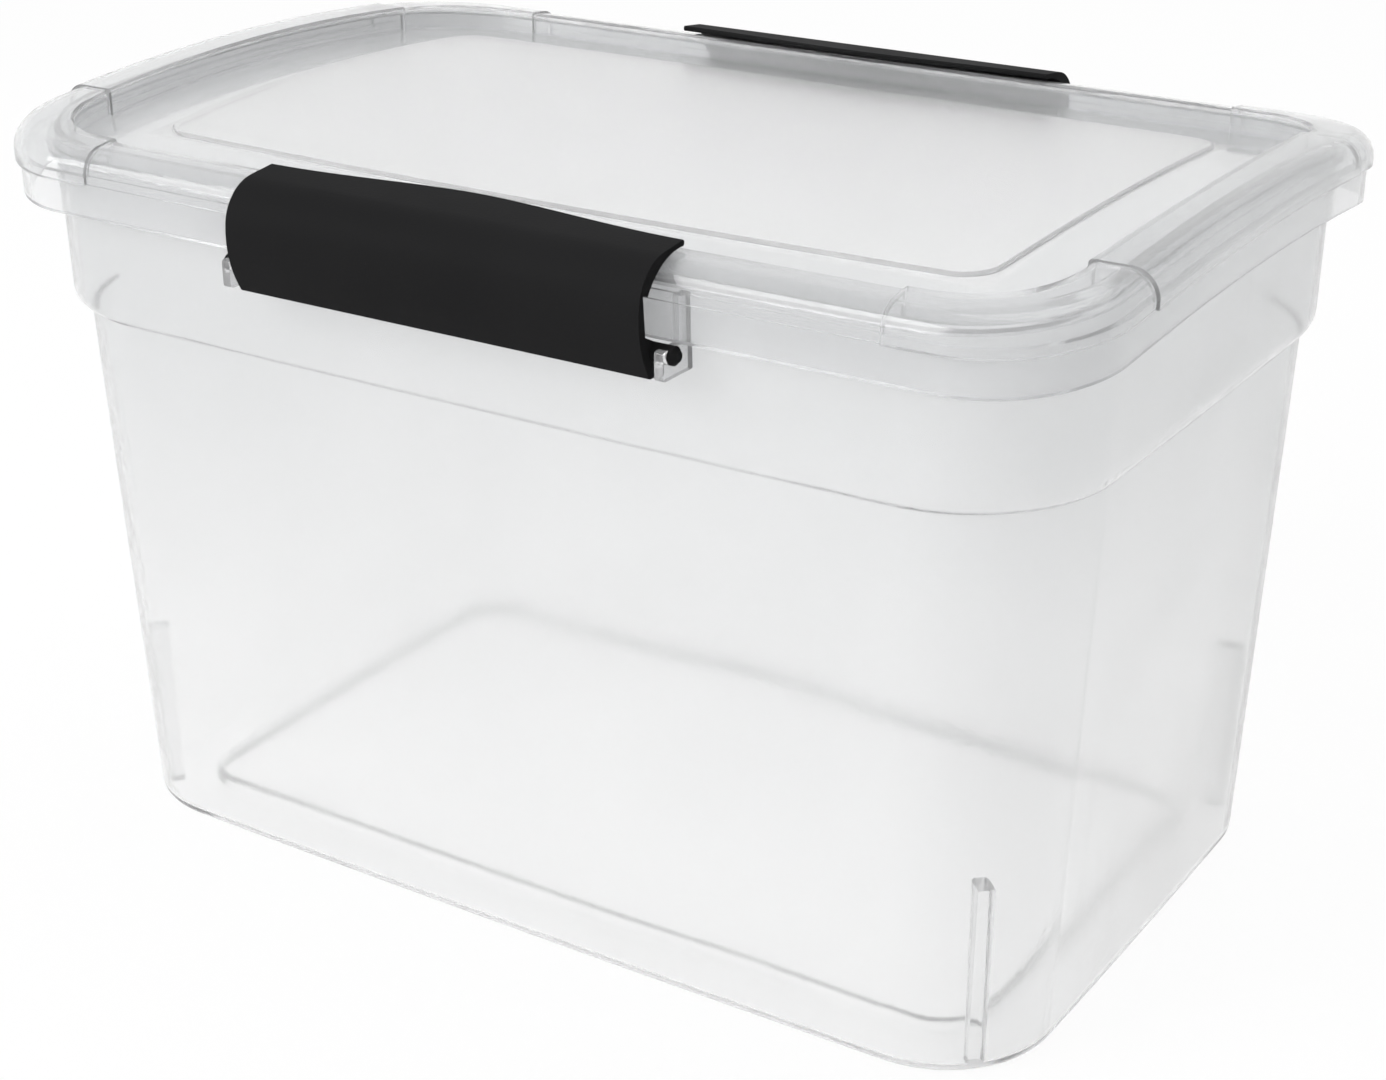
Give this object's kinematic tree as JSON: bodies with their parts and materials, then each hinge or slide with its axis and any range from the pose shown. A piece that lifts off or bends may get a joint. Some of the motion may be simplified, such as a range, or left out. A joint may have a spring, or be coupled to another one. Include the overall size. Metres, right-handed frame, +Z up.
{
  "type": "latch storage box",
  "caption": "Clear tapered storage box for papers, with an arched lid that lifts off and a snap latch on each long side.",
  "frame": {"origin": "centre of the box on the plane that its foot rests on", "axes": "+X along the length, -Y the front long side, +Z up"},
  "size_m": [0.384, 0.2638, 0.2456],
  "materials": {
    "clear_tub": "frosted clear polypropylene with a soft gloss, slightly hazy, walls about 2 mm thick",
    "clear_lid": "frosted clear polypropylene, a finely matted panel and a glossier rolled rim",
    "latch_black": "charcoal black polypropylene with a fine satin moulded texture"
  },
  "bodies": {
    "tub": {"tub": "clear_tub"},
    "lid": {"lid": "clear_lid"},
    "latch_front": {"latch_front": "latch_black"},
    "latch_back": {"latch_back": "latch_black"}
  },
  "joints": [
    {"name": "lid_lift", "type": "slide", "parent": "tub", "child": "lid", "axis": [0, 0, 1], "range_m": [0, 0.021]},
    {"name": "latch_front_swing", "type": "hinge", "parent": "tub", "child": "latch_front", "pos_m": [0, -0.1243, 0.21331], "axis": [1, 0, 0], "range_deg": [0, 90]},
    {"name": "latch_back_swing", "type": "hinge", "parent": "tub", "child": "latch_back", "pos_m": [0, 0.1243, 0.21331], "axis": [-1, 0, 0], "range_deg": [0, 90]}
  ],
  "couplings": [
    {"joint": "latch_front_swing", "follows": "lid_lift", "rad_per_m": 74.7},
    {"joint": "latch_back_swing", "follows": "lid_lift", "rad_per_m": 74.7}
  ]
}
